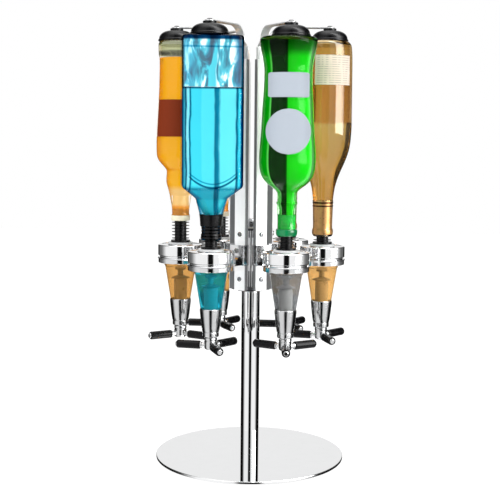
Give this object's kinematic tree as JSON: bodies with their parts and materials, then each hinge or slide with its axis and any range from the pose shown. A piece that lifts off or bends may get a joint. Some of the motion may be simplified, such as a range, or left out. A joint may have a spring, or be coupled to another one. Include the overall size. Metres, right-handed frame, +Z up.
{
  "type": "rotary drink dispenser",
  "caption": "Free-standing rotary drink dispenser: inverted bottles clamped on a turning column, each over a clear measuring tap with press-up levers, on a round mirror base.",
  "frame": {"origin": "centre of the base pad's underside, on the surface the dispenser stands on", "axes": "+Z up along the post and the carousel's axis, -Y towards the front, midway between two taps"},
  "size_m": [0.3159, 0.3024, 0.6843],
  "materials": {
    "pad_rubber": "matte foamed rubber",
    "mirror_steel": "mirror-polished sheet",
    "fastener_steel": "bright zinc",
    "chrome_tube": "bright chrome on drawn tube",
    "turned_steel": "turned",
    "bush_nylon": "natural nylon",
    "dark_metal": "dark plated sheet",
    "satin_aluminium": "satin anodised, brushed lengthwise",
    "cast_chrome": "chrome on a casting",
    "plated_chrome": "bright chrome plating on a light casting",
    "pale_cap": "satin pale grey",
    "black_rubber": "smooth moulded rubber",
    "clear_chamber": "clear moulded plastic",
    "valve_plastic": "tinted moulded plastic",
    "black_grip": "soft black grip",
    "spring_wire": "drawn spring wire",
    "strip_steel": "polished strip",
    "blue_glass": "clear glass with a blue drink",
    "green_glass": "green glass",
    "olive_glass": "pale olive glass",
    "amber_glass": "clear glass with an amber drink"
  },
  "bodies": {
    "stand": {"base_pad": "pad_rubber", "base_plate": "mirror_steel", "base_screw": "fastener_steel", "lower_post": "chrome_tube", "foot_plug": "turned_steel", "bearing_plug": "turned_steel", "spindle": "turned_steel", "thrust_washer": "turned_steel", "top_washer": "fastener_steel", "top_nut": "fastener_steel"},
    "carousel": {"hub_bushes": "bush_nylon", "hub_lower_plate": "dark_metal", "hub_upper_plate": "dark_metal", "hub_sleeve": "chrome_tube", "rails": "satin_aluminium", "rail_screws": "fastener_steel", "holder_brackets": "cast_chrome", "bracket_screws": "fastener_steel", "tap_collars": "plated_chrome", "tap_caps": "pale_cap", "stoppers": "black_rubber", "measure_chambers": "clear_chamber", "valve_tubes": "valve_plastic", "spout_cones": "plated_chrome", "bottle_1": "blue_glass", "bottle_2": "green_glass", "bottle_3": "olive_glass", "bottle_4": "olive_glass", "bottle_5": "amber_glass", "bottle_6": "amber_glass", "return_spring_1": "spring_wire", "return_spring_2": "spring_wire", "return_spring_3": "spring_wire", "return_spring_4": "spring_wire", "return_spring_5": "spring_wire", "return_spring_6": "spring_wire"},
    "plunger_1_body": {"plunger_1": "plated_chrome", "lever_sleeves_1": "black_grip"},
    "plunger_2_body": {"plunger_2": "plated_chrome", "lever_sleeves_2": "black_grip"},
    "plunger_3_body": {"plunger_3": "plated_chrome", "lever_sleeves_3": "black_grip"},
    "plunger_4_body": {"plunger_4": "plated_chrome", "lever_sleeves_4": "black_grip"},
    "plunger_5_body": {"plunger_5": "plated_chrome", "lever_sleeves_5": "black_grip"},
    "plunger_6_body": {"plunger_6": "plated_chrome", "lever_sleeves_6": "black_grip"},
    "clamp_1_body": {"clamp_arm_1": "strip_steel", "clamp_cup_1": "black_rubber"},
    "clamp_2_body": {"clamp_arm_2": "strip_steel", "clamp_cup_2": "black_rubber"},
    "clamp_3_body": {"clamp_arm_3": "strip_steel", "clamp_cup_3": "black_rubber"},
    "clamp_4_body": {"clamp_arm_4": "strip_steel", "clamp_cup_4": "black_rubber"},
    "clamp_5_body": {"clamp_arm_5": "strip_steel", "clamp_cup_5": "black_rubber"},
    "clamp_6_body": {"clamp_arm_6": "strip_steel", "clamp_cup_6": "black_rubber"}
  },
  "joints": [
    {"name": "carousel_turn", "type": "hinge", "parent": "stand", "child": "carousel", "pos_m": [0, 0, 0.32], "axis": [0, 0, 1], "continuous": true},
    {"name": "plunger_1_press", "type": "slide", "parent": "carousel", "child": "plunger_1_body", "axis": [0, 0, 1], "range_m": [0, 0.009], "stiffness_N_per_m": 300, "springref_m": -0.01, "deforming": ["return_spring_1"]},
    {"name": "plunger_2_press", "type": "slide", "parent": "carousel", "child": "plunger_2_body", "axis": [0, 0, 1], "range_m": [0, 0.009], "stiffness_N_per_m": 300, "springref_m": -0.01, "deforming": ["return_spring_2"]},
    {"name": "plunger_3_press", "type": "slide", "parent": "carousel", "child": "plunger_3_body", "axis": [0, 0, 1], "range_m": [0, 0.009], "stiffness_N_per_m": 300, "springref_m": -0.01, "deforming": ["return_spring_3"]},
    {"name": "plunger_4_press", "type": "slide", "parent": "carousel", "child": "plunger_4_body", "axis": [0, 0, 1], "range_m": [0, 0.009], "stiffness_N_per_m": 300, "springref_m": -0.01, "deforming": ["return_spring_4"]},
    {"name": "plunger_5_press", "type": "slide", "parent": "carousel", "child": "plunger_5_body", "axis": [0, 0, 1], "range_m": [0, 0.009], "stiffness_N_per_m": 300, "springref_m": -0.01, "deforming": ["return_spring_5"]},
    {"name": "plunger_6_press", "type": "slide", "parent": "carousel", "child": "plunger_6_body", "axis": [0, 0, 1], "range_m": [0, 0.009], "stiffness_N_per_m": 300, "springref_m": -0.01, "deforming": ["return_spring_6"]},
    {"name": "clamp_1_lift", "type": "slide", "parent": "carousel", "child": "clamp_1_body", "axis": [0, 0, 1], "range_m": [0, 0.09]},
    {"name": "clamp_2_lift", "type": "slide", "parent": "carousel", "child": "clamp_2_body", "axis": [0, 0, 1], "range_m": [0, 0.09]},
    {"name": "clamp_3_lift", "type": "slide", "parent": "carousel", "child": "clamp_3_body", "axis": [0, 0, 1], "range_m": [0, 0.09]},
    {"name": "clamp_4_lift", "type": "slide", "parent": "carousel", "child": "clamp_4_body", "axis": [0, 0, 1], "range_m": [0, 0.09]},
    {"name": "clamp_5_lift", "type": "slide", "parent": "carousel", "child": "clamp_5_body", "axis": [0, 0, 1], "range_m": [0, 0.09]},
    {"name": "clamp_6_lift", "type": "slide", "parent": "carousel", "child": "clamp_6_body", "axis": [0, 0, 1], "range_m": [0, 0.09]}
  ]
}
